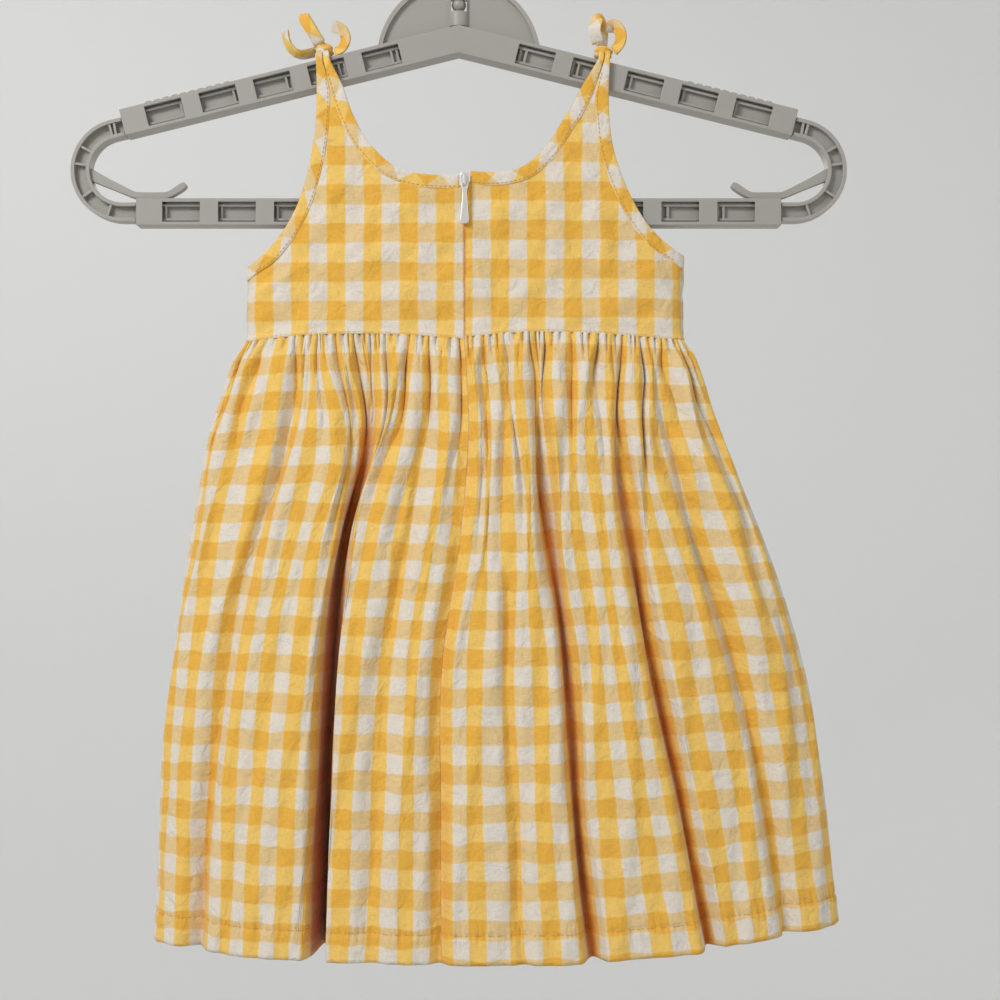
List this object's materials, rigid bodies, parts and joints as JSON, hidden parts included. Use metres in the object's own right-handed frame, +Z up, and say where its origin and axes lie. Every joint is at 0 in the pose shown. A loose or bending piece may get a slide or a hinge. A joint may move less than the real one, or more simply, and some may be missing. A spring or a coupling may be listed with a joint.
{
  "type": "gathered sundress on a plastic hanger",
  "caption": "Toddler's gingham sundress with gathered skirt, bound edges and shoulder bows, seen with its back zip, on a grey plastic swivel hook hanger.",
  "frame": {"origin": "top of the inside of the hanger's hook, where it rests on a rail", "axes": "+Z up, X along the hanger, the dress's back with its zip faces -Y"},
  "size_m": [0.4324, 0.0938, 0.6035],
  "materials": {
    "gingham_cotton": "matt",
    "bias_binding": "matt",
    "grey_plastic": "satin",
    "zip_metal": "polished",
    "zip_tape": "matt"
  },
  "bodies": {
    "dress": {"skirt_back_left": "gingham_cotton", "skirt_back_right": "gingham_cotton", "skirt_front": "gingham_cotton", "bodice_back_left": "gingham_cotton", "bodice_back_right": "gingham_cotton", "bodice_front": "gingham_cotton", "neck_binding_back_left": "bias_binding", "neck_binding_back_right": "bias_binding", "neck_binding_front": "bias_binding", "armhole_binding_left": "bias_binding", "armhole_binding_right": "bias_binding", "bow_left_knot": "bias_binding", "bow_left_tail": "bias_binding", "bow_left_loop": "bias_binding", "bow_left_curl": "bias_binding", "bow_right_knot": "bias_binding", "bow_right_loop": "bias_binding", "bow_right_curl": "bias_binding", "zip_chain": "zip_tape", "zip_slider": "zip_metal", "hanger_arms": "grey_plastic", "hanger_bar": "grey_plastic", "hanger_end_left": "grey_plastic", "hanger_end_right": "grey_plastic", "hanger_hub": "grey_plastic", "hanger_hook": "grey_plastic"},
    "zip_pull": {"zip_pull": "zip_metal"}
  },
  "joints": [
    {"name": "pull_hinge", "type": "hinge", "parent": "dress", "child": "zip_pull", "pos_m": [0.0035, -0.0166, -0.1718], "axis": [-1, 0, 0], "range_deg": [0, 160]}
  ]
}
